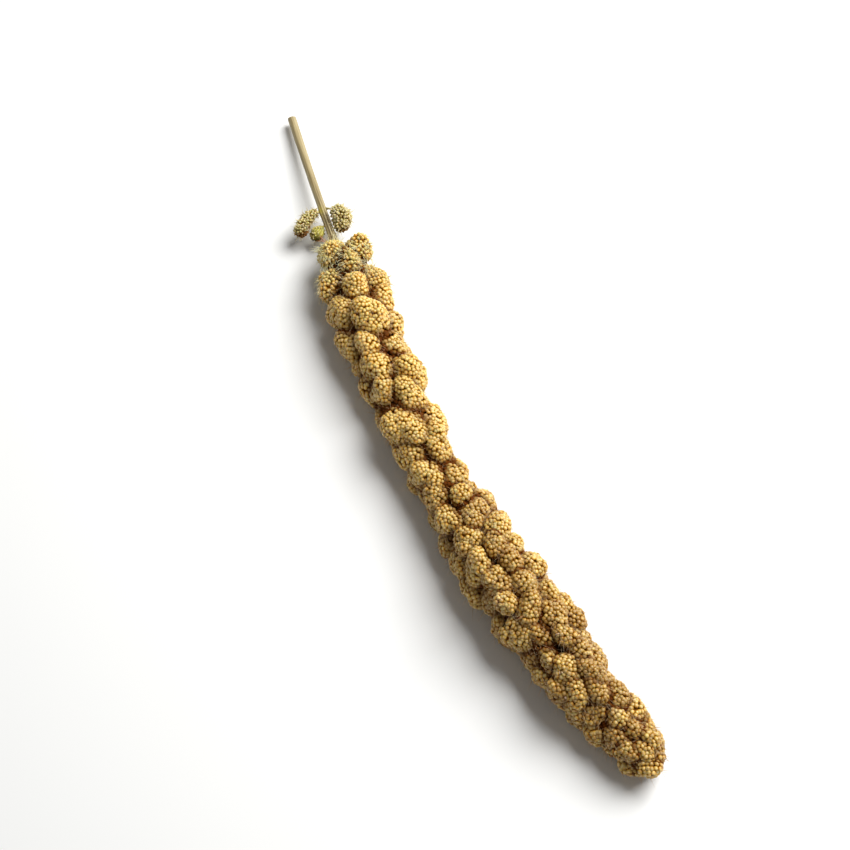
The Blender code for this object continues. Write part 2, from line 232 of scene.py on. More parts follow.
def makeSubLobes(centres, axes):
    # smaller lobes on the flanks of some lobes, which make those look double
    draw = newDraw(1)
    chosen = np.flatnonzero(draw.uniform(0, 1, len(centres)) < lobe["subShare"])
    angle = draw.uniform(0, fullTurn, len(chosen))
    aside = np.stack([np.cos(angle), np.sin(angle)], 1) * lobe["subAside"]
    lean = np.column_stack([aside, np.full(len(chosen), lobe["subOut"])])
    moved = centres[chosen] + np.einsum("ij,ijk->ik", lean, axes[chosen])
    return moved, axes[chosen] * lobe["subSize"], chosen


# How the grains' lobes differ from the solid's: some larger and some smaller, all a little longer
# towards the tip and shifted that way, so that each hangs over the next one's foot
overhang = {
    "size": (0.92, 1.27),
    "sizeLow": (0.90, 1.21),  # in the lower half
    "lowFrom": (0.4, 0.6),  # shares of the length where that starts and is full
    "longer": 0.16,
    "shift": 0.0010,
    "raised": 0.0017,  # outwards or inwards at most
    "firstSize": 0.82,  # of the lobes next to the stem, which sit closer to it
    "firstTo": (0.005, 0.013),  # distances from the base: up to here fully, and past here not at all
    "firstIn": 0.0006,
    "firstShift": -0.0015,
    "firstAside": 0.0026,
}


def hungOver(centres, axes, draw):
    # each lobe's matrix is scaled, then stretched along the head; its outer face stays where it was
    s = alongHead(centres)[0]
    forward = axisAt(s)[3]
    start, full = overhang["lowFrom"]
    low = np.clip((s / head["length"] - start) / (full - start), 0, 1)[:, None]
    limits = (1 - low) * np.array(overhang["size"]) + low * np.array(overhang["sizeLow"])
    size = limits[:, 0] + (limits[:, 1] - limits[:, 0]) * draw.uniform(0, 1, len(s))
    base, aside, _, ahead = axisAt(0.0)
    first = np.interp((centres - base) @ ahead[0], overhang["firstTo"], (1, 0))
    outward = axes[:, 2]
    raised = spread(draw, len(s), overhang["raised"]) * (1 - first) - first * overhang["firstIn"]
    shift = overhang["shift"] + first * overhang["firstShift"]
    moved = centres - outward * ((size - 1) * (1 - first))[:, None] + forward * shift[:, None]
    moved = moved + unitRows(outward) * raised[:, None] + aside * (first * overhang["firstAside"])[:, None]
    size = size + (overhang["firstSize"] - size) * first
    grown = axes * size[:, None, None]
    along = np.einsum("ijk,ik->ij", grown, forward)
    grown = grown + overhang["longer"] * along[:, :, None] * forward[:, None]
    return onFloor(moved, grown), grown


clump = {
    "count": 3,  # on each lobe
    "uneven": 0.3,  # how far off its even place round the lobe, in steps
    "rise": (0.15, 0.95),  # how far out on the lobe, as the height on a unit ball
    "aside": 0.60,
    "size": (0.44, 0.58),
    "body": 0.95,  # what is left of the lobe's own size
}


def makeClumps(centres, axes):
    # little knolls of grain on each lobe: smaller copies of its ball, moved aside along one radius
    draw = newDraw(3)
    each = clump["count"]
    owners = np.repeat(np.arange(len(centres)), each)
    number = np.tile(np.arange(each), len(centres))
    turn = (number + draw.uniform(-clump["uneven"], clump["uneven"], len(owners))) * fullTurn / each
    turn = turn + np.repeat(draw.uniform(0, fullTurn, len(centres)), each)
    rise = draw.uniform(*clump["rise"], len(owners))
    ring = np.sqrt(1 - rise**2)
    lean = np.stack([ring * np.cos(turn), ring * np.sin(turn), rise], 1) * clump["aside"]
    moved = centres[owners] + np.einsum("ij,ijk->ik", lean, axes[owners])
    return moved, axes[owners] * draw.uniform(*clump["size"], len(owners))[:, None, None], owners


def flat(values):
    return np.ascontiguousarray(values, np.float32).ravel()


def newPiece(name, points, faces, smooth=True):
    # faces is one array of triangles or quads, or a list of such arrays
    blocks = faces if isinstance(faces, list) else [faces]
    loops = np.concatenate([block.ravel() for block in blocks])
    sizes = np.concatenate([np.full(len(block), block.shape[1]) for block in blocks])
    mesh = bpy.data.meshes.new(name)
    mesh.vertices.add(len(points))
    mesh.vertices.foreach_set("co", flat(points))
    mesh.loops.add(len(loops))
    mesh.loops.foreach_set("vertex_index", loops.astype(np.int32))
    mesh.polygons.add(len(sizes))
    mesh.polygons.foreach_set("loop_start", (np.cumsum(sizes) - sizes).astype(np.int32))
    mesh.polygons.foreach_set("use_smooth", np.full(len(sizes), smooth))
    mesh.update(calc_edges=True)
    made = bpy.data.objects.new(name, mesh)
    bpy.context.scene.collection.objects.link(made)
    return made


def paintPoints(made, name, values):
    # three or four numbers for each vertex, which the materials read by the attribute's name
    kind, field = ("FLOAT_COLOR", "color") if values.shape[-1] == 4 else ("FLOAT_VECTOR", "vector")
    made.data.attributes.new(name, kind, "POINT").data.foreach_set(field, flat(values))


def cellMap(made, count, pattern):
    # one square cell of the UV map for each repeat, with the same pattern of corners in every cell
    cells = math.ceil(math.sqrt(count))
    index = np.arange(count)
    corner = np.stack([index % cells, index // cells], 1)
    places = (corner[:, None] + pattern[None]) / cells
    made.data.uv_layers.new(name="OFBake").data.foreach_set("uv", flat(places))


def circle(sides):
    return np.arange(sides) * fullTurn / sides


def spokes(sides):
    # the numbers of a ring's vertices, and of the next vertex after each
    k = np.arange(sides)
    return k, (k + 1) % sides


def strips(first, sides):
    # triangles of the two bands between three rings of vertices
    k, n = spokes(sides)
    blocks = []
    for low in (first, first + sides):
        high = low + sides
        blocks += [np.stack([low + k, low + n, high + n], 1), np.stack([low + k, high + n, high + k], 1)]
    return blocks


def copied(pattern, count, vertices):
    # one repeat's faces for all of them, each with its own vertices
    return (pattern[None] + (np.arange(count) * vertices)[:, None, None]).reshape(-1, pattern.shape[1])


def evenSphere(count):
    # points spread evenly over a sphere: equal steps of height, each turned by the golden angle
    k = np.arange(count)
    height = 1 - (2 * k + 1) / count
    ring = np.sqrt(1 - height**2)
    return np.stack([ring * np.cos(k * goldenAngle), ring * np.sin(k * goldenAngle), height], 1)


# Materials

rangeNames = ("From Min", "From Max", "To Min", "To Max")


def toLinear(text):
    # sRGB hex to the linear colour that the shaders use
    channels = [int(text[i:i + 2], 16) / 255 for i in (1, 3, 5)]
    return tuple(c / 12.92 if c <= 0.04045 else ((c + 0.055) / 1.055) ** 2.4 for c in channels) + (1,)


def addNode(tree, kind, settings):
    # a new node of this kind, or this node, with its settings by name or socket number: a value, a hex
    # colour, or what is linked in: a node, for its first output in use, or (node, output's name)
    made = tree.nodes.new("ShaderNode" + kind) if isinstance(kind, str) else kind
    for key, value in settings.items():
        source, *named = value if isinstance(value, tuple) else (value,)
        if isinstance(source, bpy.types.Node):
            output = source.outputs[named[0]] if named else next(o for o in source.outputs if o.enabled)
            tree.links.new(output, made.inputs[key])
        elif isinstance(key, int) or key in made.inputs.keys():
            made.inputs[key].default_value = toLinear(value) if isinstance(value, str) else value
        elif key == "stops":
            ramp = made.color_ramp.elements
            while len(ramp) < len(value):
                ramp.new(1.0)
            for stop, (place, colour) in zip(ramp, value):
                stop.position = place
                stop.color = toLinear(colour)
        elif key == "limits":  # of a range: from and to, or only to
            for name, limit in zip(rangeNames[-len(value):], value):
                made.inputs[name].default_value = limit
        else:
            setattr(made, key, value)
    return made


def startMaterial(name):
    made = bpy.data.materials.new(name)
    made.use_nodes = True
    return made, partial(addNode, made.node_tree), made.node_tree.nodes["Principled BSDF"]


def paintedMaterial(name, attribute):
    # the same for painted pieces, with the node of the attribute, whole and split into its numbers
    made, add, shader = startMaterial(name)
    values = add("Attribute", {"attribute_name": attribute})
    return made, add, shader, values, add("SeparateColor", {"Color": values})


def layered(add, colour, layers):
    # each layer's colour over the last, by a share that runs between two limits with a value
    for value, limits, over in layers:
        share = add("MapRange", {"limits": limits, "Value": value})
        colour = add("Mix", {"data_type": "RGBA", 0: share, 6: colour, 7: over})
    return colour


seedLook = {
    "base": "#aa7010",  # the husk's foot, between the grains: partly its own browner colour, partly painted shade
    "flank": "#d0a545",
    "tip": "#e9ce8c",
    "climb": (0.50, 0.80, 1.0),  # where these three lie from foot to tip
    "deep": "#562200",  # painted shade: browner and darker far down between the lobes and in crevices
    "deepLimits": (0.06, 0.60, 0.0, 0.95),  # from these values of the painted shade to these shares of that colour
    "green": "#ccbc74",
    "greenLimits": (0.80, 1.4, 0.0, 0.85),
    "pale": "#e2cb94",
    "paleLimits": (0.08, 0.0, 0.0, 0.4),
    "brown": "#905608",  # of the dullest lobes
    "brownLimits": (0.5, 0.0, 0.0, 0.44),
    "tones": (0.80, 1.12),
    "seam": "#8e540c",  # the slits where the husk's two halves meet
    "seamPlace": (0.26, 0.05),  # from the middle, and their half-width
    "seamShare": 0.30,
    "roughness": (0.36, 0.80),  # on the lobes' faces and deep between them
    "gloss": (0.42, 0.02),
    "softness": 0.38,  # how much light passes through the thin husk, and how far each colour goes
    "softRadius": (1.0, 0.58, 0.20),
    "softScale": 0.0007,
    "wrinkle": 0.0003,  # real wrinkles are about 0.1 mm apart; drawn coarser so that they show
}


def seedMaterial(name, look):
    # dried millet grain in its husk: a glossy little ball with a pale tip, browner towards its foot,
    # and duller, with painted shade, deep between the lobes and in crevices. The attribute "grain" holds
    # tone, climb from foot to tip, painted shade deep in the head and in crevices, and a draw for odd grains;
    # "husk" places across the grain, from -1 to 1.
    made, add, shader, values, split = paintedMaterial(name, "grain")
    stops = tuple(zip(look["climb"], (look["base"], look["flank"], look["tip"])))
    climb = add("ValToRGB", {"stops": stops, "Fac": (split, "Green")})
    husk = add("Attribute", {"attribute_name": "husk"})
    across = add("SeparateXYZ", {"Vector": (husk, "Vector")})
    aside = add("Math", {"operation": "ABSOLUTE", 0: (across, "X")})
    place, wide = look["seamPlace"]
    seam = add("Math", {"operation": "COMPARE", 0: aside, 1: place, 2: wide})
    share = add("Math", {"operation": "MULTIPLY", 0: seam, 1: look["seamShare"]})
    seamed = add("Mix", {"data_type": "RGBA", 0: share, 6: climb, 7: look["seam"]})
    browner = layered(add, seamed, (((values, "Alpha"), look["greenLimits"], look["green"]),
                                     ((values, "Alpha"), look["paleLimits"], look["pale"]),
                                     ((split, "Red"), look["brownLimits"], look["brown"])))
    tone = add("MapRange", {"limits": look["tones"], "Value": (split, "Red")})
    toned = add("VectorMath", {"operation": "SCALE", "Vector": browner, "Scale": tone})
    # painted shade: the darker colour deep in the head and in crevices, by the attribute's third number
    depth = add("MapRange", {"limits": look["deepLimits"], "Value": (split, "Blue")})
    deep = add("Mix", {"data_type": "RGBA", 0: depth, 6: toned, 7: look["deep"]})
    wrinkles = add("TexNoise", {"Scale": 1 / look["wrinkle"], "Detail": 2.0,
                                "Vector": (add("TexCoord", {}), "Object")})
    bump = add("Bump", {"Strength": 0.25, "Distance": 0.0001, "Height": wrinkles})
    rough, gloss = (add("MapRange", {"limits": look[limits], "Value": depth})
                    for limits in ("roughness", "gloss"))
    add(shader, {
        "Base Color": deep, "Normal": bump, "Roughness": rough, "Specular IOR Level": gloss,
        "Subsurface Weight": look["softness"], "Subsurface Radius": look["softRadius"],
        "Subsurface Scale": look["softScale"]})
    return made


def heartMaterial():
    # the husks' feet and branchlets under the grains: dull brown fibre, with painted shade that darkens it
    # further in and in crevices
    made, add, shader, _, split = paintedMaterial("brownHusk", "grain")
    # painted shade: darker further into the head and in crevices, by the attribute's third number
    depth = add("ValToRGB", {"stops": ((0.10, "#8a5410"), (0.50, "#5c2c06"), (0.90, "#2a1000")),
                             "Fac": (split, "Blue")})
    place = add("TexCoord", {})
    # fibres 0.8 mm apart, coarser than real ones so that they show
    fibre = add("TexNoise", {"Scale": 1200.0, "Detail": 3.0, "Vector": (place, "Object")})
    tone = add("MapRange", {"To Min": 0.7, "To Max": 1.3, "Value": fibre})
    toned = add("VectorMath", {"operation": "SCALE", "Vector": depth, "Scale": tone})
    bump = add("Bump", {"Strength": 0.6, "Distance": 0.0003, "Height": fibre})
    add(shader, {"Base Color": toned, "Normal": bump, "Roughness": 0.85, "Specular IOR Level": 0.1})
    return made


def bristleMaterial():
    # dry bristle: a fine straw-coloured hair, a little glossy, browner at its foot; a few are reddish.
    # The attribute holds tone, climb from the foot, redness and paleness.
    made, add, shader, values, split = paintedMaterial("dryBristle", "hair")
    climb = add("ValToRGB", {"stops": ((0.0, "#a87c44"), (0.4, "#ccaa7a"), (1.0, "#e4cfae")),
                             "Fac": (split, "Green")})
    paler = add("Mix", {"data_type": "RGBA", 0: (values, "Alpha"), 6: climb, 7: "#e2dcae"})
    redder = add("Mix", {"data_type": "RGBA", 0: (split, "Blue"), 6: paler, 7: "#c0714c"})
    tone = add("MapRange", {"To Min": 0.7, "To Max": 1.1, "Value": (split, "Red")})
    toned = add("VectorMath", {"operation": "SCALE", "Vector": redder, "Scale": tone})
    add(shader, {"Base Color": toned, "Roughness": 0.5})
    return made


strawLook = {
    "dark": "#78653a",
    "middle": "#a5946a",
    "light": "#bfb086",
    "cut": "#d8c9a0",
    "pith": "#cbb98c",
    "pore": "#9a8250",
    "pores": 2600.0,  # cells of the pith, about 0.4 mm apart
    "streak": 0.0004,  # width of a streak round the stem
    "streakLength": 0.012,
    "broad": 0.22,  # share of that scale for the broad streaks, and their weight
    "broadShare": 0.45,
    # painted shade in the grooves
    "grooveShade": "#5a4520",
    "ridge": "#d2c496",
    "swollen": "#a6962f",
}


def strawMaterial():
    # dry millet straw: satin stalk with fine lengthwise ribs and streaks, paler fibre at the cut.
    # The attribute "stalk" holds places on an unbent stem, so that streaks follow its bend; "stalkCut"
    # holds 1 on the cut end, then 0 in a groove to 1 on a ridge, then the green swelling.
    made, add, shader, _, split = paintedMaterial("dryStraw", "stalkCut")
    look = strawLook
    stalk = add("Attribute", {"attribute_name": "stalk"})
    scales = (1 / look["streak"], 1 / look["streak"], 1 / look["streakLength"])
    stretched = add("VectorMath", {"operation": "MULTIPLY", 0: (stalk, "Vector"), 1: scales})
    streaks = add("TexNoise", {"Scale": 1.0, "Detail": 4.0, "Roughness": 0.6, "Vector": stretched})
    broad = add("TexNoise", {"Scale": look["broad"], "Detail": 2.0, "Vector": stretched})
    both = add("Mix", {0: look["broadShare"], 2: streaks, 3: broad})
    stops = ((0.34, look["dark"]), (0.50, look["middle"]), (0.66, look["light"]))
    colour = add("ValToRGB", {"stops": stops, "Fac": both})
    place = add("TexCoord", {})
    pores = add("TexVoronoi", {"Scale": look["pores"], "Vector": (place, "Object")})
    stops = ((0.05, look["pore"]), (0.35, look["pith"]), (0.7, look["cut"]))
    cutColour = add("ValToRGB", {"stops": stops, "Fac": pores})
    # painted shade darkens the stem's grooves; the ridges between them are paler
    ridged = layered(add, colour, (((split, "Green"), (0.5, 0.0, 0.0, 0.75), look["grooveShade"]),
                                    ((split, "Green"), (0.5, 1.0, 0.0, 0.60), look["ridge"])))
    swollen = add("Mix", {"data_type": "RGBA", 0: (split, "Blue"), 6: ridged, 7: look["swollen"]})
    finished = add("Mix", {"data_type": "RGBA", 0: (split, "Red"), 6: swollen, 7: cutColour})
    bump = add("Bump", {"Strength": 0.5, "Distance": 0.0001, "Height": streaks})
    add(shader, {"Base Color": finished, "Normal": bump, "Roughness": 0.48})
    return made


def finish(piece, material, replaced=()):
    piece.data.materials.append(material)
    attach(piece, "root")
    if replaced:
        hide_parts(*replaced)


# Grains

grain = {
    "pitch": 0.00178,
    "half": 0.00124,
    "length": 0.00100,
    "sides": 6,
    "rise": (-0.70, 0.0, 0.52, 0.87, 1.0),  # rings of the profile, foot to tip, in lengths
    "wide": (0.0, 1.0, 0.84, 0.46, 0.0),
    "mapRing": (0.49, 0.42, 0.29, 0.15, 0.0),  # the same rings' radii in a cell of the map
    "longer": 0.45,
    "slimmer": 0.16,
    "pointed": (0.012, 0.036),  # distances from the base: to here all are pointed, past there none
    "lump": 0.055,
    "unevenness": 0.040,
    "ragged": 0.00012,  # further out or in at most
    "lean": 0.16,
    "sizes": (0.88, 1.10),
    "packing": 0.866,  # of points that each have six neighbours
    "hiddenAt": (0.0, 0.45, 0.70, 1.0),
    "hidden": (1.01, 1.00, 0.98, 0.97),  # nearer another lobe than this there is no grain
    "hiddenSpread": (-0.14, 0.05),
    "hiddenInOwn": 0.955,
    "crevice": 0.42,  # how far a crevice's shade reaches from another lobe, in its half-widths
    "creviceShade": 0.85,
    "creviceSpread": (0.25, 1.15),  # how strong it is round each lobe
    "deepFrom": 0.14,  # share of the head's radius from which the shade grows, and how fast
    "deepening": 1.5,
    "near": 0.026,  # lobes further apart than this never touch
    "coreHidden": 0.20,
    "lowest": 0.0005,
}


def alongHead(points):
    # how far along the head the nearest point of its axis lies, and how far off, up to the round tip
    s = np.arange(head["capRadius"], head["length"] - head["capRadius"], 0.002)
    gap = np.linalg.norm(points[:, None] - axisAt(s)[0][None], axis=2)
    return s[gap.argmin(axis=1)], gap.min(axis=1)


def grainPlaces(centres, axes, family, pitch, draw):
    # even points over each lobe, but not inside another ball of its family or beside another lobe
    inverse = np.linalg.inv(axes)
    closest = alongBy(alongHead(centres)[0], grain, "hidden")
    closest = closest + draw.uniform(*grain["hiddenSpread"], family.max() + 1)[family]
    found = []
    for index, centre in enumerate(centres):
        half = np.linalg.norm(axes[index], axis=1)
        power = 1.6  # of the usual formula for a stretched ball's area
        pairs = (half[0] * half[1]) ** power + (half[0] * half[2]) ** power + (half[1] * half[2]) ** power
        area = 4 * math.pi * (pairs / 3) ** (1 / power)
        unit = evenSphere(max(int(area / (grain["packing"] * pitch**2)), 8))
        spin = draw.uniform(0, fullTurn, 3)
        lumps = np.sin(3.6 * unit[:, 0] + spin[0]) * np.sin(4.1 * unit[:, 1] + spin[1])
        lumps = 1 + grain["lump"] * (lumps + 0.45 * np.sin(6.3 * unit[:, 2] + spin[2]))
        unit = unitRows(unit + draw.normal(0, grain["unevenness"], unit.shape))
        c, s = math.cos(spin[0]), math.sin(spin[0])
        unit = unit @ np.array([[c, s, 0], [-s, c, 0], [0, 0, 1]])
        placed = centre + (unit * lumps[:, None]) @ axes[index]
        seen = np.ones(len(unit), bool)
        near = np.flatnonzero(np.linalg.norm(centres - centre, axis=1) < grain["near"])
        for other in near[near != index]:
            inside = np.linalg.norm((placed - centres[other]) @ inverse[other], axis=1)
            kin = family[other] == family[index]
            seen &= inside > (grain["hiddenInOwn"] if kin else closest[index])
        found.append((placed[seen], unitRows(unit @ inverse[index].T)[seen], np.full(seen.sum(), index)))
    return [np.concatenate(column) for column in zip(*found)]


def shadeInHead(points, strength=1.0):
    # 0 on the lobes' outer faces, 1 deep in the head or in a crevice, where the second nearest lobe is
    # about as near as the nearest. The strength is that of crevices.
    nearest = np.full(len(points), 9.0)
    second = nearest
    for centre, inverse in zip(lobeCentres, np.linalg.inv(lobeAxes)):
        share = np.linalg.norm((points - centre) @ inverse, axis=1)
        second = np.minimum(second, np.maximum(nearest, share))
        nearest = np.minimum(nearest, share)
    crevice = np.clip((1 + grain["crevice"] - second) / grain["crevice"], 0, 1)
    s, gap = alongHead(points)
    depth = 1 - gap / headRadius(s)
    deeper = np.maximum(depth - grain["deepFrom"], 0) * grain["deepening"]
    return np.clip(grain["creviceShade"] * crevice**1.2 * strength + deeper, 0, 1), depth


def byRing(values):
    # a value for each vertex of a grain, from those of its foot, three rings and tip
    return np.concatenate([values[:1], np.repeat(values[1:4], grain["sides"]), values[4:]])


def grainPattern():
    # a grain's triangles, their corners' places in a cell of the map, and the vertices' places across
    # the grain and up from its foot
    sides = grain["sides"]
    k, n = spokes(sides)
    top = 1 + 2 * sides
    faces = np.concatenate([np.stack([0 * k, 1 + n, 1 + k], 1), *strips(1, sides),
                            np.stack([top + k, top + n, 0 * k + top + sides], 1)])
    angle = np.concatenate([[0], np.tile(circle(sides), 3), [0]])
    angles = angle[faces]
    angles[:sides, 0] = (k + 0.5) * fullTurn / sides  # the foot is split, a corner for each face
    corners = np.stack([np.cos(angles), np.sin(angles)], 2) * byRing(grain["mapRing"])[faces][:, :, None]
    rises = np.array(grain["rise"])
    wide, climb = byRing(grain["wide"]), byRing((rises - rises[0]) / (rises[-1] - rises[0]))
    across = np.stack([wide * np.cos(angle), wide * np.sin(angle), climb], 1)
    return faces, (corners + 0.5).reshape(-1, 2), across


def makeGrains(name, points, outs, tones, shades, odds, pointed, draw, scale=1.0):
    # a small egg on each point, its tip outwards: rings of the profile turned round the outward line,
    # longer and slimmer where pointed is 1 instead of 0
    count = len(points)
    points = points + outs * draw.uniform(-1, 1, count)[:, None] * grain["ragged"]
    outs, first, second = strayedFrame(outs, grain["lean"], draw)
    size = draw.uniform(*grain["sizes"], count)[:, None, None] * scale
    half = grain["half"] * size * (1 - grain["slimmer"] * pointed[:, None, None])
    length = grain["length"] * size * (1 + grain["longer"] * pointed[:, None, None])
    angle = circle(grain["sides"])[None, :, None]
    ring = first[:, None] * np.cos(angle) + second[:, None] * np.sin(angle)
    rows = [points[:, None] + ring * wide * half + outs[:, None] * rise * length
            for rise, wide in zip(grain["rise"], grain["wide"])]
    block = np.concatenate([rows[0][:, :1], *rows[1:-1], rows[-1][:, :1]], 1)
    pattern, corners, across = grainPattern()
    made, values = newRepeats(name, block, pattern, corners)
    values[:, :, 0] = tones[:, None]
    values[:, :, 1] = across[:, 2]
    values[:, :, 2] = shades[:, None]
    values[:, :, 3] = odds[:, None]
    paintPoints(made, "grain", values)
    paintPoints(made, "husk", np.tile(across, (count, 1)))
    return made


def strayedFrame(outs, stray, draw):
    # outward directions, each a little off its own way, and two directions square to each
    outs = unitRows(outs + draw.normal(0, stray, outs.shape))
    first = unitRows(np.cross(outs, draw.normal(size=outs.shape)))
    return outs, first, np.cross(outs, first)


def newRepeats(name, block, pattern, corners):
    # a piece of repeats, kept above the floor, with its map; and room for four numbers a vertex
    count, each = block.shape[:2]
    block[:, :, 2] = np.maximum(block[:, :, 2], floorGap)
    made = newPiece(name, block.reshape(-1, 3), copied(pattern, count, each))
    cellMap(made, count, corners)
    return made, np.ones((count, each, 4))


# how far the tone strays from lobe to lobe and grain to grain, and a lobe's share of odd grains
headTone = {
    "lobe": 0.25,
    "grain": 0.20,
    "odd": 0.16,
    "greenBase": 0.72,  # more green grains on the first lobes
    "at": (0.0, 0.30, 0.65, 0.85, 1.0),  # shares of the length: the lower lobes are browner
    "along": (0.72, 0.90, 0.24, 0.14, 0.40),
}

lobeCentres, lobeAxes, lobeTurns = makeLobes()
lobeCentres, lobeAxes = hungOver(lobeCentres, lobeAxes, newDraw(4))
subCentres, subAxes, subOwners = makeSubLobes(lobeCentres, lobeAxes)
clumpCentres, clumpAxes, clumpOwners = makeClumps(lobeCentres, lobeAxes)
allCentres = np.concatenate([lobeCentres, subCentres, clumpCentres])
allAxes = np.concatenate([lobeAxes * clump["body"], subAxes, clumpAxes])
family = np.concatenate([np.arange(len(lobeCentres)), subOwners, clumpOwners])
print("lobes", len(lobeCentres), "and", len(subCentres), "smaller ones on their flanks")

driedSeed = seedMaterial("driedSeed", seedLook)
brownHusk = heartMaterial()

draw = newDraw(2)
points, outs, owners = grainPlaces(allCentres, allAxes, family, grain["pitch"], draw)
# how strong the painted shade in the crevices is round each lobe
creviceShadeStrength = draw.uniform(*grain["creviceSpread"], len(lobeCentres))
shades, depths = shadeInHead(points, creviceShadeStrength[family[owners]])
kept = (depths < 1 - grain["coreHidden"]) & (points[:, 2] > grain["lowest"])
columns = points, outs, shades, depths, family[owners]
points, outs, shades, depths, owners = (column[kept] for column in columns)
lobeTones = spread(draw, len(lobeCentres), headTone["lobe"])
along = alongHead(points)[0]
tones = np.interp(along / head["length"], headTone["at"], headTone["along"])
tones = np.clip(tones + lobeTones[owners] + draw.normal(0, headTone["grain"], len(points)), 0, 1)
lobeOdds = spread(draw, len(lobeCentres), headTone["odd"])
pointed = np.clip((grain["pointed"][1] - along) / (grain["pointed"][1] - grain["pointed"][0]), 0, 1)
odds = draw.uniform(0, 1, len(points)) + lobeOdds[owners] + headTone["greenBase"] * pointed
odds = np.maximum(odds, 0)
quarterOf = np.round(lobeTurns / (math.pi / 2)).astype(int) % 4
for number, name in enumerate(("grainsRight", "grainsTop", "grainsLeft", "grainsUnder")):
    own = quarterOf[owners] == number
    values = (column[own] for column in (points, outs, tones, shades, odds, pointed))
    piece = makeGrains(name, *values, draw)
    finish(piece, driedSeed, ("seed_head",))
    print(name, own.sum(), "grains", len(piece.data.polygons), "triangles")


# Under the grains

heart = {
    "share": 0.93,  # of the lobes
    "detail": 0.0013,
    "rings": 40,
    "sides": 20,
    "ends": (0.005, 0.281),
    "ball": (24, 14),  # faces round and from pole to pole
}


def tubeFaces(rings, sides):
    # quads between rings and the triangles that close both ends on a pole, which follow the rings
    k, n = spokes(sides)
    rows = (np.arange(rings - 1) * sides)[:, None]
    quads = np.stack([rows + k, rows + n, rows + n + sides, rows + k + sides], 2).reshape(-1, 4)
    pole, last = 0 * k + rings * sides, (rings - 1) * sides
    return quads, np.concatenate([np.stack([pole, n, k], 1), np.stack([pole + 1, last + k, last + n], 1)])


def ballsMesh(centres, axes, share):
    # one stretched ball for each lobe: circles of latitude from the top of a unit ball to its foot,
    # which is the wrong way round for the faces, so they are turned over
    segments, rings = heart["ball"]
    polar, turn = np.arange(1, rings)[:, None] * math.pi / rings, circle(segments)
    grid = np.stack([np.sin(polar) * np.cos(turn), np.sin(polar) * np.sin(turn), np.cos(polar) + 0 * turn], 2)
    unit = np.concatenate([grid.reshape(-1, 3), [(0, 0, 1), (0, 0, -1)]])
    quads, caps = tubeFaces(rings - 1, segments)
    points = centres[:, None] + np.einsum("pk,lkj->lpj", unit * share, axes)
    turnedOver = quads[:, (0, 3, 2, 1)], caps[:, (0, 2, 1)]
    return points.reshape(-1, 3), *(copied(faces, len(centres), len(unit)) for faces in turnedOver)


def tubeGrid(centres, rights, aboves, radii):
    # a tube, closed at both ends: each ring is its centre plus the radius times (right * cosine +
    # above * sine). radii holds one number for each ring and side.
    angle = circle(radii.shape[1])
    ring = np.cos(angle)[:, None] * rights[:, None] + np.sin(angle)[:, None] * aboves[:, None]
    grid = centres[:, None] + ring * radii[:, :, None]
    return np.concatenate([grid.reshape(-1, 3), centres[:1], centres[-1:]]), *tubeFaces(*radii.shape)


def tubeAlong(line, radii):
    # the same along a line, with the first side level
    tangent = unitRows(np.gradient(line, axis=0))
    right = unitRows(np.cross(tangent, (0, 0, 1)))
    return tubeGrid(line, right, np.cross(tangent, right), radii)


def joined(shapes):
    # several shapes of points, quads and triangles as one
    points, *kinds = zip(*shapes)
    starts = np.cumsum([0] + [len(own) for own in points])
    moved = ([faces + start for faces, start in zip(kind, starts)] for kind in kinds)
    return np.concatenate(points), [np.concatenate(faces) for faces in moved]


def remeshed(piece, detail):
    # one closed skin round everything in the piece
    modifier = piece.modifiers.new("oneSkin", "REMESH")
    modifier.mode = "VOXEL"
    modifier.voxel_size = detail
    modifier.use_smooth_shade = True
    evaluated = piece.evaluated_get(bpy.context.evaluated_depsgraph_get())
    mesh = bpy.data.meshes.new_from_object(evaluated)
    piece.modifiers.clear()
    piece.data = mesh
    places = np.empty(len(mesh.vertices) * 3, np.float32)
    mesh.vertices.foreach_get("co", places)
    places = places.reshape(-1, 3)
    places[:, 2] = np.maximum(places[:, 2], floorGap)
    mesh.vertices.foreach_set("co", places.ravel())
    mesh.update()
    return places


def paintShade(piece, shades):
    values = np.ones((len(piece.data.vertices), 4))
    values[:, 2] = shades
    paintPoints(piece, "grain", values)


s = np.linspace(*heart["ends"], heart["rings"])
centre, side, up, forward = axisAt(s)
radii = np.repeat((headRadius(s) * head["coreRadius"])[:, None], heart["sides"], 1)
shape, blocks = joined([ballsMesh(allCentres, allAxes, heart["share"]), tubeGrid(centre, side, up, radii)])
heartPiece = newPiece("huskHeart", shape, blocks)
bpy.context.view_layer.update()
paintShade(heartPiece, shadeInHead(remeshed(heartPiece, heart["detail"]))[0])
finish(heartPiece, brownHusk, ("seed_head",))
print("huskHeart", len(heartPiece.data.polygons), "faces")


# Bristles

bristle = {
    "count": 7000,
    "length": (0.0018, 0.0045),
    "deepest": 0.5,  # share of the head's radius
    "rootAside": 0.0007,  # from the middle of a grain
    "clusterShare": 0.30,  # hairs for each grain of a side cluster
    "clusterLength": (0.0014, 0.0034),
    "stemCount": 260,
    "stemLength": (0.0007, 0.0018),
    "stemPart": (-0.024, -0.001),  # along the head, from its base
    "stemRadius": 0.00005,
    "red": 0.015,  # share of reddish ones
    "atBase": 2.2,  # how much more of them grow on the first lobes
    "baseWider": 1.1,  # and how much thicker those are
    "radius": 0.00009,  # real ones are about 0.05 mm; drawn thicker so that they show
    "sides": 3,
    "rings": (0.0, 0.35, 0.7, 1.0),
    "taper": (1.0, 0.8, 0.5),
    "forward": 0.45,
    "stray": 0.35,
    "bend": 0.35,
    "bendForward": 0.25,
}

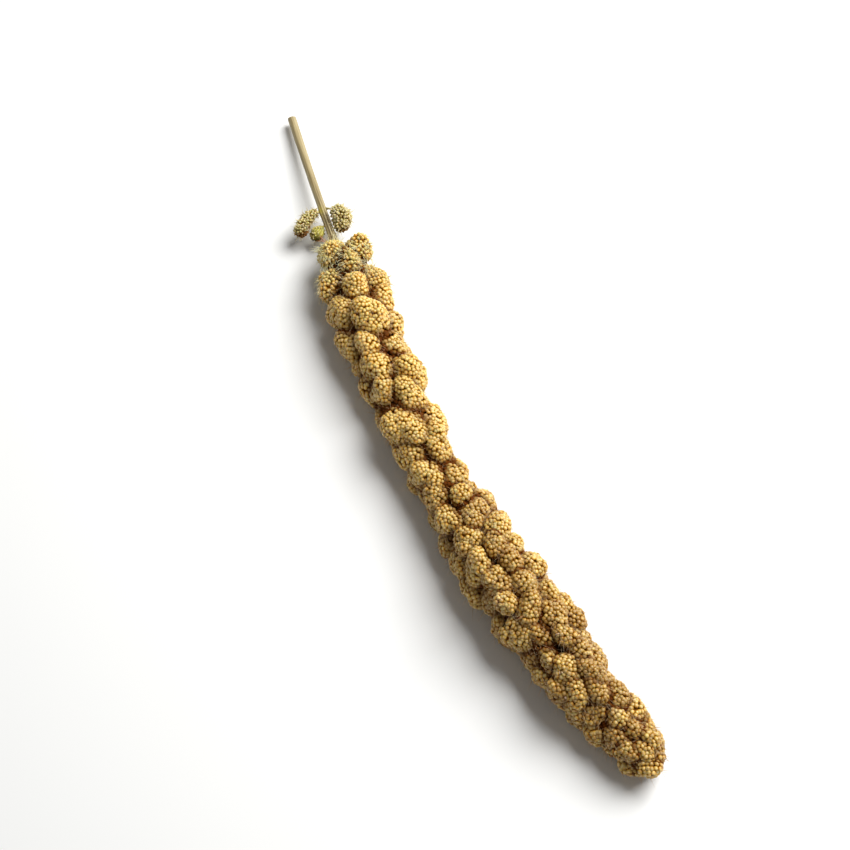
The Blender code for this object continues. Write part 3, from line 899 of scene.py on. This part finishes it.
# The thin red twig at the stem's left side: each branch's turn round the stem, length and slant
redTwig = {
    "at": -0.0056,
    "out": 0.0019,
    "starts": (0.0, 0.0022, 0.0042),  # of the forks, along the first branch
    "turns": (math.radians(158), math.radians(148), math.radians(138)),
    "lengths": (0.0098, 0.0046, 0.0038),
    "slants": (-0.10, -1.2, -1.6),  # positive towards the tip
    "droop": -0.15,
    "paleness": 0.5,
    "radius": 0.00026,
}

# Short pale fibres that flare from the stem over the first lobes
flare = {
    "count": 60,
    "part": (-0.0105, -0.0030),
    "length": (0.0022, 0.0050),
    "radius": 0.00015,
    "stray": 0.25,
    "outwards": 0.30,
    "paleness": 0.8,
}


def strayed(outs, towards, draw):
    # hairs' directions at the root and how they bend, each a little off its own way
    start = outs + towards * bristle["forward"] + draw.normal(0, bristle["stray"], outs.shape)
    return unitRows(start), draw.normal(0, bristle["bend"], outs.shape) + towards * bristle["bendForward"]


def bristlePattern(sides):
    # a hair's triangles and their corners' places in a cell of the map: side k of the hair takes the
    # k-th part of the cell's width, and the foot a small triangle beside them
    k, n = spokes(sides)
    tip = np.stack([2 * sides + k, 2 * sides + n, 0 * k + 3 * sides], 1)
    places = [((0, 1, 0.5), (2 / 3, 2 / 3, 1))]
    for low, high in ((1 / 3, 2 / 3), (0, 1 / 3)):
        places[:0] = ((0, 1, 1), (low, low, high)), ((0, 1, 0), (low, high, high))
    corners = [np.stack(np.broadcast_arrays((k[:, None] + across) * 0.28, np.array(along) * 0.92), 2) + 0.04
               for across, along in places]
    corners.append([[[0.92, 0.1], [0.98, 0.1], [0.95, 0.3]]])
    return np.concatenate([*strips(0, sides), tip, [[0, 2, 1]]]), np.concatenate(corners).reshape(-1, 2)


def makeBristles(name, roots, ways, lengths, radii, reds, draw, paleness=0.0):
    # three-sided hairs: a parabola from the root along its direction, bent towards another
    count, sides = len(roots), bristle["sides"]
    start, bend = ways
    share = np.array(bristle["rings"])[None, :, None]
    line = roots[:, None] + (start[:, None] * share + bend[:, None] * share**2) * lengths[:, None, None]
    right = unitRows(np.cross(start, draw.normal(size=(count, 3))))
    above = np.cross(start, right)
    angle = circle(sides)[None, None, :, None]
    ring = right[:, None, None] * np.cos(angle) + above[:, None, None] * np.sin(angle)
    radius = radii[:, None, None, None] * np.array(bristle["taper"])[None, :, None, None]
    tube = line[:, :-1, None] + ring * radius
    block = np.concatenate([tube.reshape(count, -1, 3), line[:, -1:]], 1)
    made, values = newRepeats(name, block, *bristlePattern(sides))
    values[:, :, 0] = np.maximum(draw.uniform(0, 1, count), paleness)[:, None]
    values[:, :, 1] = np.append(np.repeat(bristle["rings"][:-1], sides), 1.0)
    values[:, :, 2] = reds[:, None]
    values[:, :, 3] = np.broadcast_to(paleness, count)[:, None]
    paintPoints(made, "hair", values)
    return made


draw = newDraw(5)
weights = (depths < bristle["deepest"]) * (1 + bristle["atBase"] * pointed)
chosen = draw.choice(len(points), bristle["count"], p=weights / weights.sum())
forward = axisAt(along[chosen])[3]
dryBristle = bristleMaterial()
roots = points[chosen] + unitRows(draw.normal(size=(len(chosen), 3))) * bristle["rootAside"]
lengths = draw.uniform(*bristle["length"], len(chosen))
radii = bristle["radius"] * (1 + bristle["baseWider"] * pointed[chosen])
reds = draw.uniform(0, 1, len(chosen)) < bristle["red"] * (1 - pointed[chosen])
ways = strayed(outs[chosen], forward, draw)
piece = makeBristles("bristles", roots, ways, lengths, radii, reds, draw, pointed[chosen])
finish(piece, dryBristle, ("seed_head",))
print("bristles", len(roots))


def aroundStem(s, turn):
    # centre of the stem, outward direction and forward direction at distances s and turns round it
    centre, side, up, forward = axisAt(s)
    return centre, turned(side, up, turn), forward


def makeStemHairs(draw):
    # short down near the head, the pale fibres at its first lobes and the red twig with its forks
    kinds = bristle["stemCount"], flare["count"], len(redTwig["turns"])
    down, fibres, twig = kinds
    s = np.concatenate([draw.uniform(*bristle["stemPart"], down), draw.uniform(*flare["part"], fibres),
                        np.full(twig, redTwig["at"])])
    turn = np.append(draw.uniform(0, fullTurn, down + fibres), redTwig["turns"])
    centre, outward, forward = aroundStem(s, turn)
    start, bend = strayed(outward, forward, draw)
    flared, last = slice(down, down + fibres), slice(down + fibres, None)
    start[flared] = start[flared] * flare["stray"] + outward[flared] * flare["outwards"] + forward[flared]
    start[last] = outward[last] + forward[last] * np.array(redTwig["slants"])[:, None]
    start[down:] = unitRows(start[down:])
    bend[last] = redTwig["droop"] * outward[last]
    lengths = np.concatenate([draw.uniform(*bristle["stemLength"], down),
                              draw.uniform(*flare["length"], fibres), redTwig["lengths"]])
    radii = np.repeat((bristle["stemRadius"], flare["radius"], redTwig["radius"]), kinds)
    roots = centre + outward * redTwig["out"]
    roots[last] += start[last][:1] * np.array(redTwig["starts"])[:, None]
    reds = np.repeat((0, 0, 1), kinds)
    paleness = np.repeat((0.0, flare["paleness"], redTwig["paleness"]), kinds)
    return makeBristles("stemHairs", roots, (start, bend), lengths, radii, reds, draw, paleness)


finish(makeStemHairs(draw), dryBristle, ("stem",))


# Chaff

chaff = {
    "count": 34,
    "halfLength": (0.0009, 0.0016),
    "wide": 0.42,  # share of the half-length
    "thick": 0.00010,
    "cup": 0.30,
    "stray": 0.45,
    "lift": 0.0009,
    "lowest": 0.004,
    "deepest": 0.25,  # share of the head's radius
    "sides": 8,
    "tuft": {"s": 0.236, "turn": math.radians(122), "count": 5, "out": 0.0172},
}


def chaffMaterial():
    # papery chaff: thin pale flakes with a pinkish cast, matt, and lit through
    made, add, shader = startMaterial("paperyChaff")
    place = add("TexCoord", {})
    # patches about 1.1 mm apart, one or two on a flake
    patches = add("TexNoise", {"Scale": 900.0, "Detail": 2.0, "Vector": (place, "Object")})
    colour = add("ValToRGB", {"stops": ((0.35, "#b98a62"), (0.52, "#cfa987"), (0.70, "#dcc0a2")),
                              "Fac": patches})
    add(shader, {"Base Color": colour, "Roughness": 0.6, "Subsurface Weight": 0.4,
                 "Subsurface Radius": (1.0, 0.7, 0.5), "Subsurface Scale": 0.0005})
    return made


def makeChaff(places, outs, draw):
    # thin flakes: a narrow ellipse round each place, cupped by the square of the distance along it,
    # whose rim joins an upper and a lower middle point
    count, sides = len(places), chaff["sides"]
    outs, first, second = strayedFrame(outs, chaff["stray"], draw)
    length = draw.uniform(*chaff["halfLength"], count)[:, None, None]
    angle = circle(sides)
    x = np.cos(angle)[None, :, None]
    y = (np.sin(angle) * np.abs(np.sin(angle)) ** 0.3 * chaff["wide"])[None, :, None]
    rim = first[:, None] * x + second[:, None] * y - outs[:, None] * chaff["cup"] * x**2
    middle = np.array((0.5, -0.5))[None, :, None] * chaff["thick"] * outs[:, None]
    block = np.concatenate([rim * length, middle], 1) + (places + outs * chaff["lift"])[:, None]
    k, n = spokes(sides)
    faces = np.concatenate([np.stack([k, n, 0 * k + sides], 1), np.stack([n, k, 0 * k + sides + 1], 1)])
    ring = np.stack([np.cos(angle) * 0.22, np.sin(angle) * 0.44], 1)  # in half a cell of the map
    corners = [np.stack([ring[a], ring[b], 0 * ring], 1) + (across, 0.5)
               for a, b, across in ((k, n, 0.26), (n, k, 0.74))]
    return newRepeats("chaff", block, faces, np.concatenate(corners).reshape(-1, 2))[0]


chosen = np.flatnonzero((depths < chaff["deepest"]) & (points[:, 2] > chaff["lowest"]))
chosen = draw.choice(chosen, chaff["count"], replace=False)
tuft = chaff["tuft"]
centre, outward, _ = aroundStem(np.array([tuft["s"]]), np.array([tuft["turn"]]))
away = np.linalg.norm(points - centre - outward * tuft["out"], axis=1)
chosen = np.append(chosen, np.argsort(away)[:tuft["count"]])
piece = makeChaff(points[chosen], outs[chosen], draw)
finish(piece, chaffMaterial(), ("seed_head",))
print("chaff", len(chosen), "flakes")


# Stem

stem = {
    "inHead": 0.014,
    "radii": (0.00215, 0.00190),  # at the cut end and at the head
    "sides": 96,
    "rings": 120,
    "ribs": 19,
    "ribHeight": 0.012,  # share of the radius
    "flare": 0.30,  # how much wider the stem is where the lobes begin
    "flarePart": (-0.0105, -0.0025),
    # the cut from its middle to the rim: shares of the radius, and how far in from the end
    "cutShare": (0.15, 0.45, 0.70, 0.75, 0.80, 0.90, 0.97, 1.0, 1.0),
    "cutIn": (0.00018, 0.00016, 0.00022, 0.00012, 0.0, -0.00004, 0.0, 0.00008, 0.00030),
    "ringsFrom": 0.0008,
    "slant": 0.00015,
    "ragged": 0.00006,
}

# Grooves and paler ridges that run down the stem's last part to the head, at these turns round it,
# and the swollen, greener foot of the first branchlet
grooves = {
    "turns": (2.02, 1.22, 0.45, 2.80, 4.3, 5.3),
    "ridges": (1.62, 0.86, 2.45, 3.6, 4.8, 6.0),
    "width": 0.16,
    "depth": 0.09,  # share of the radius
    "part": (-0.036, -0.020),  # where they start and are full
}
swelling = {"at": -0.0243, "length": 0.0026, "turn": 2.7, "width": 1.0, "height": 0.20}


def bell(angle, turn, width):
    # a bell curve round the stem: 1 at this turn, and e to the -1 at the width from it
    return np.exp(-((((angle - turn + math.pi) % fullTurn - math.pi) / width) ** 2))


def climbing(s, part):
    return np.clip((s - part[0]) / (part[1] - part[0]), 0, 1)


def makeStalk():
    # a tube along the axis, ribbed by cosines of the angle. Its cut end turns in over a tough rim to
    # the pith, which lies a little lower.
    angle, end = circle(stem["sides"]), -head["stemLength"]
    s = np.append(np.array(stem["cutIn"]) + end,
                  np.linspace(stem["ringsFrom"] + end, stem["inHead"], stem["rings"]))
    share = np.append(stem["cutShare"], np.ones(stem["rings"]))
    along = np.maximum(s, end)
    base = np.interp(along, (end, 0), stem["radii"])
    base = base * (1 + 0.010 * np.sin(along * 160 + 1) + 0.008 * np.sin(along * 420))
    wander = 0.6 * np.sin(along[:, None] * 55 + 0.5)
    ribs = 0.6 * np.cos(stem["ribs"] * angle + wander) + 0.8 * np.cos(7 * angle - 1.3 * wander)
    outside = np.clip((share - 0.9) / 0.1, 0, 1)[:, None]
    flared = climbing(along, stem["flarePart"]) ** 2
    near = climbing(along, grooves["part"])[:, None]
    low, high = (sum(bell(angle + 0.1 * wander, turn, grooves["width"]) for turn in grooves[name]) * near
                 for name in ("turns", "ridges"))
    knot = np.exp(-(((along - swelling["at"]) / swelling["length"]) ** 2))[:, None]
    knot = knot * bell(angle, swelling["turn"], swelling["width"])
    relief = stem["ribHeight"] * ribs - grooves["depth"] * low + swelling["height"] * knot
    radii = (base * share * (1 + stem["flare"] * flared))[:, None] * (1 + relief * outside)
    centre, side, up, forward = axisAt(along)
    points, quads, caps = tubeGrid(centre, side, up, radii)
    nearCut = np.clip(1 - (s - end) / 0.0012, 0, 1)
    wall = np.clip((share - 0.72) / 0.05, 0, 1) * nearCut
    wave = np.cos(3 * angle + 1) + 0.7 * np.cos(11 * angle) + 0.5 * np.cos(23 * angle + 2)
    offset = (s - along)[:, None] + stem["ragged"] * wave * wall[:, None]
    offset = offset + stem["slant"] * np.cos(angle) * (share * nearCut)[:, None]
    points[:-2] += (forward[:, None] * offset[:, :, None]).reshape(-1, 3)
    points[-2] = points[:stem["sides"]].mean(axis=0)
    made = newPiece("stalk", points, [quads, caps])
    paintStalk(made, angle, share, s, 0.5 + 0.5 * (high - low), knot)
    return made


def paintStalk(made, angle, share, s, relief, knot):
    # places on an unbent stalk; and a point's share in the cut, in groove (0) or ridge (1), and swelling
    rim = np.stack([np.cos(angle), np.sin(angle)], 1)[None] * (share * stem["radii"][1])[:, None, None]
    places = np.concatenate([rim, np.broadcast_to(s[:, None, None], (len(s), len(angle), 1))], 2)
    paintPoints(made, "stalk", np.concatenate([places.reshape(-1, 3), [(0, 0, s[0]), (0, 0, s[-1])]]))
    cut = np.repeat(np.clip((0.97 - share) / 0.05, 0, 1), len(angle))
    columns = np.append(cut, (1, 0)), np.append(relief, (0.5, 0.5)), np.append(knot, (0, 0))
    paintPoints(made, "stalkCut", np.stack([*columns, 0 * columns[0]], 1))


# Side clusters on their branchlets: the path's control points are distances before the head's base, to
# the side and up. The balls sit from a first share of the path to its end.
clusters = {
    "clusterLeft": {
        "node": "side_cluster_left",
        "path": ((0.0248, 0, 0), (0.0250, -0.0050, 0.0014), (0.0222, -0.0100, 0.0012),
                 (0.0172, -0.0134, 0)),
        "first": 0.32,
        "heldTo": 0.46,
        "radii": (0.0016, 0.0021, 0.0025, 0.0029, 0.0028),
        "pitch": 0.00125,
        "brown": 1.3,  # painted shade on the side turned down and to the head, at the far end
        "bracts": 120,
        "rootHairs": 60,
        "green": False,
    },
    "clusterRight": {
        "node": "side_cluster_right",
        "path": ((0.0262, 0, 0), (0.0235, 0.0050, 0.0030), (0.0170, 0.0095, 0.0040),
                 (0.0130, 0.0062, 0.0020)),
        "first": 0.56,
        "heldTo": 0.62,
        "radii": (0.0033, 0.0041, 0.0032),
        "pitch": 0.00140,
        "brown": 0.7,
        "bracts": 150,
        "rootHairs": 10,
        "green": False,
    },
    "clusterBehind": {
        "node": "side_cluster_behind",
        "path": ((0.0172, 0, 0), (0.0158, -0.0034, -0.0012), (0.0136, -0.0070, -0.0024)),
        "first": 0.72,
        "heldTo": 0.80,
        "radii": (0.0020, 0.0022),
        "pitch": 0.00130,
        "brown": 1.6,
        "bracts": 8,
        "rootHairs": 0,
        "green": True,
    },
}
bractLook = {"length": (0.0016, 0.0034), "radius": 0.00031, "rootLength": (0.0010, 0.0026),
             "rootPart": (0.05, 0.40), "rootRadius": 0.00010}
branchlet = {"foot": 0.00075, "tip": 0.00045, "sides": 12, "rings": 30}
# the grains' middle tone and its spread, the most of the odd draw, how pointed they are, and the size
# and shade of the husks under them, and how pale bracts and root hairs are
clusterTone = {"grain": (0.6, 0.22), "odd": 1.2, "pointed": (0.7, 1.6), "heart": 0.86, "heartShade": 0.2,
               "paleness": 0.6}
paleLook = dict(seedLook, base="#b09c58", flank="#cbbd7c", tip="#e4dcb2", deep="#70481e", green="#b0a548")
greenLook = dict(seedLook, base="#968632", flank="#b6a853", tip="#d4ca8c", deep="#54481a")
bractColours = dict(greenLook, base="#9c943e", flank="#bcb056", tip="#d0c678", roughness=(0.65, 0.80),
                    gloss=(0.10, 0.02))


def branchPoints(path, shares):
    # the Bezier curve with these control points, carried along the bent axis
    order = len(path) - 1
    weights = [math.comb(order, k) * shares**k * (1 - shares) ** (order - k) for k in range(order + 1)]
    before, aside, above = (np.stack(weights, 1) @ np.array(path)).T
    centre, side, up, _ = axisAt(-before)
    return centre + side * aside[:, None] + up * above[:, None]


def branchTube(path, heldTo):
    # a tube along the path, thicker where it leaves the stem
    shares = np.linspace(0, heldTo, branchlet["rings"])
    radii = branchlet["tip"] + (branchlet["foot"] - branchlet["tip"]) * (1 - shares / heldTo) ** 3
    return tubeAlong(branchPoints(path, shares), np.repeat(radii[:, None], branchlet["sides"], 1))


def makeBranchlets():
    points, blocks = joined([branchTube(own["path"], own["heldTo"]) for own in clusters.values()])
    made = newPiece("branchlets", points, blocks)
    paintPoints(made, "stalk", points)
    paintPoints(made, "stalkCut", np.tile((0, 0.5, 0.5, 0), (len(points), 1)))
    return made


def makeCluster(name, cluster, material):
    draw = newDraw(6 + len(name))
    radii = np.array(cluster["radii"])
    centres = branchPoints(cluster["path"], np.linspace(cluster["first"], 1, len(radii)))
    axes = np.eye(3) * radii[:, None, None]
    places, outs, owners = grainPlaces(centres, axes, np.zeros(len(radii), int), cluster["pitch"], draw)
    tones = np.clip(draw.normal(*clusterTone["grain"], len(places)), 0, 1)
    odds = draw.uniform(0, clusterTone["odd"], len(places))
    forward = axisAt(0.0)[3][0]
    # painted shade on the grains turned down and towards the head, more on the balls further along the
    # branchlet
    downwards = np.clip(0.6 * outs @ forward - 0.45 * outs[:, 2] + 0.1, 0, 1)
    shades = downwards * cluster["brown"] * (owners + 1) / len(radii)
    pointed = draw.uniform(*clusterTone["pointed"], len(places))
    scale = cluster["pitch"] / grain["pitch"]
    made = makeGrains(name, places, outs, tones, shades, odds, pointed, draw, scale)
    finish(made, material, (cluster["node"],))
    return centres, axes, places, outs


bract = {
    "part": (0.30, 1.34),
    "widest": 0.0027,
    "flatness": 0.25,
    "lift": 0.0007,
    "rings": 30,
    "sides": 48,
}


def makeBract(name, cluster, material):
    # a smooth folded bract over the balls: a tube whose radius climbs and falls by a sine
    share, (start, end) = np.linspace(0, 1, bract["rings"]), bract["part"]
    line = branchPoints(cluster["path"], start + (end - start) * share)
    line[:, 2] += bract["lift"]
    angle = circle(bract["sides"])
    radii = bract["widest"] * np.maximum(np.sin(math.pi * share**1.15), 0.01)[:, None] ** 0.9
    folds = bract["flatness"] * np.cos(2 * angle) + 0.05 * np.cos(12 * angle) + 0.05 * np.cos(5 * angle + 1)
    points, quads, caps = tubeAlong(line, radii * (1 + folds))
    made = newPiece(name, points, [quads, caps])
    values = np.ones((len(points), 4)) * (0.5, 0.7, 0, 0.7)
    values[:-2, 1] = np.tile(0.75 + 0.25 * np.cos(12 * angle), len(share))
    along = np.append(np.repeat(share, bract["sides"]), (0, 1))
    # painted shade, growing towards the bract's far end
    values[:, 2] = np.clip((along - 0.45) / 0.55, 0, 1) * 0.6
    paintPoints(made, "grain", values)
    finish(made, material, (cluster["node"],))


def rootHairs(cluster, draw):
    # hairs on the branchlet between the stem and the cluster, which stand out from it all round
    count = cluster["rootHairs"]
    line = branchPoints(cluster["path"], np.sort(draw.uniform(*bractLook["rootPart"], count)))
    outs = unitRows(draw.normal(size=(count, 3)))
    return line + outs * branchlet["tip"] * 0.8, outs  # from just under its skin


dryStraw = strawMaterial()
stalkPiece = makeStalk()
finish(stalkPiece, dryStraw, ("stem",))
finish(makeBranchlets(), dryStraw, ("stem",))
print("stalk", len(stalkPiece.data.polygons), "faces")

greenSeed = seedMaterial("greenishSeed", greenLook)
paleSeed = seedMaterial("paleSeed", paleLook)
makeBract("bractBehind", clusters["clusterBehind"], seedMaterial("greenBract", bractColours))
hearts, hairs = [], []
for name, cluster in clusters.items():
    centres, axes, places, outs = makeCluster(name, cluster, greenSeed if cluster["green"] else paleSeed)
    hearts.append(ballsMesh(centres, axes, clusterTone["heart"]))
    fine = draw.choice(len(places), int(len(places) * bristle["clusterShare"]), replace=False)
    coarse = draw.choice(len(places), cluster["bracts"])
    groups = (places[fine], outs[fine]), (places[coarse], outs[coarse]), rootHairs(cluster, draw)
    hairs += [(*own, np.full(len(own[0]), kind)) for kind, own in enumerate(groups)]
points, blocks = joined(hearts)
piece = newPiece("clusterHearts", points, blocks)
paintShade(piece, clusterTone["heartShade"])
clusterNodes = tuple(cluster["node"] for cluster in clusters.values())
finish(piece, brownHusk, clusterNodes)

roots, outs, kinds = (np.concatenate(column) for column in zip(*hairs))
limits = np.array((bristle["clusterLength"], bractLook["length"], bractLook["rootLength"]))[kinds]
lengths = draw.uniform(limits[:, 0], limits[:, 1])
radii = np.array((bristle["radius"], bractLook["radius"], bractLook["rootRadius"]))[kinds]
ways = strayed(outs, np.repeat(axisAt(0.0)[3], len(roots), 0) * 0.5, draw)
reds = draw.uniform(0, 1, len(roots)) < bristle["red"] * (kinds == 0)
paleness = (kinds > 0) * clusterTone["paleness"]
piece = makeBristles("clusterBristles", roots, ways, lengths, radii, reds, draw, paleness)
finish(piece, dryBristle, clusterNodes)
print("side clusters", len(clusters), "with", len(roots), "bristles and bracts")


# Floor, light and camera

studio = {
    "azimuth": -27.0,  # the camera stands this far round from looking along +Y
    "elevation": 66.0,
    "distance": 0.80,
    "width": 0.395,  # what the picture spans at the target
    "target": (0.0, 0.0, 0.012),
    "floor": "#f3f3f1",
    "floorSize": 3.0,
    "keySize": 0.95,
    "keyPower": 26.5,
    "keyPlace": (0.66, 0.62, 0.78),  # towards the camera, right and up in its view
    "skyStrength": 0.175,
}


def standing(name, data, target, away):
    # a camera or light that stands away from the target and looks at it
    made = bpy.data.objects.new(name, data)
    made.location = target + away
    made.rotation_euler = Vector(-away).to_track_quat("-Z", "Y").to_euler()
    bpy.context.scene.collection.objects.link(made)
    return made


def placeStudio():
    turn, rise = math.radians(studio["azimuth"]), math.radians(studio["elevation"])
    away = np.array([math.sin(turn) * math.cos(rise), -math.cos(turn) * math.cos(rise), math.sin(rise)])
    right = np.array([math.cos(turn), math.sin(turn), 0])
    target, scene = np.array(studio["target"]), bpy.context.scene
    lens = bpy.data.cameras.new("camera")
    lens.lens = lens.sensor_width * studio["distance"] / studio["width"]
    lens.clip_start = 0.01
    scene.camera = standing("camera", lens, target, away * studio["distance"])
    key = bpy.data.lights.new("key", "AREA")
    key.size = studio["keySize"]
    key.energy = studio["keyPower"]
    standing("key", key, target, np.array(studio["keyPlace"]) @ (away, right, np.cross(right, -away)))
    scene.world = bpy.data.worlds.new("softSky")
    scene.world.use_nodes = True
    sky = scene.world.node_tree.nodes["Background"]
    sky.inputs["Color"].default_value = (1, 1, 1, 1)
    sky.inputs["Strength"].default_value = studio["skyStrength"]
    scene.view_settings.view_transform = "Standard"


def makeFloor():
    half = studio["floorSize"] / 2
    points = np.array([(-half, -half, 0), (half, -half, 0), (half, half, 0), (-half, half, 0)])
    made = newPiece("floor", points, np.array([[0, 1, 2, 3]]), smooth=False)
    material, add, shader = startMaterial("mattPaper")  # matt white paper, with no gloss
    add(shader, {"Base Color": studio["floor"], "Roughness": 0.9, "Specular IOR Level": 0.2})
    made.data.materials.append(material)


makeFloor()
placeStudio()
print("studio ready")
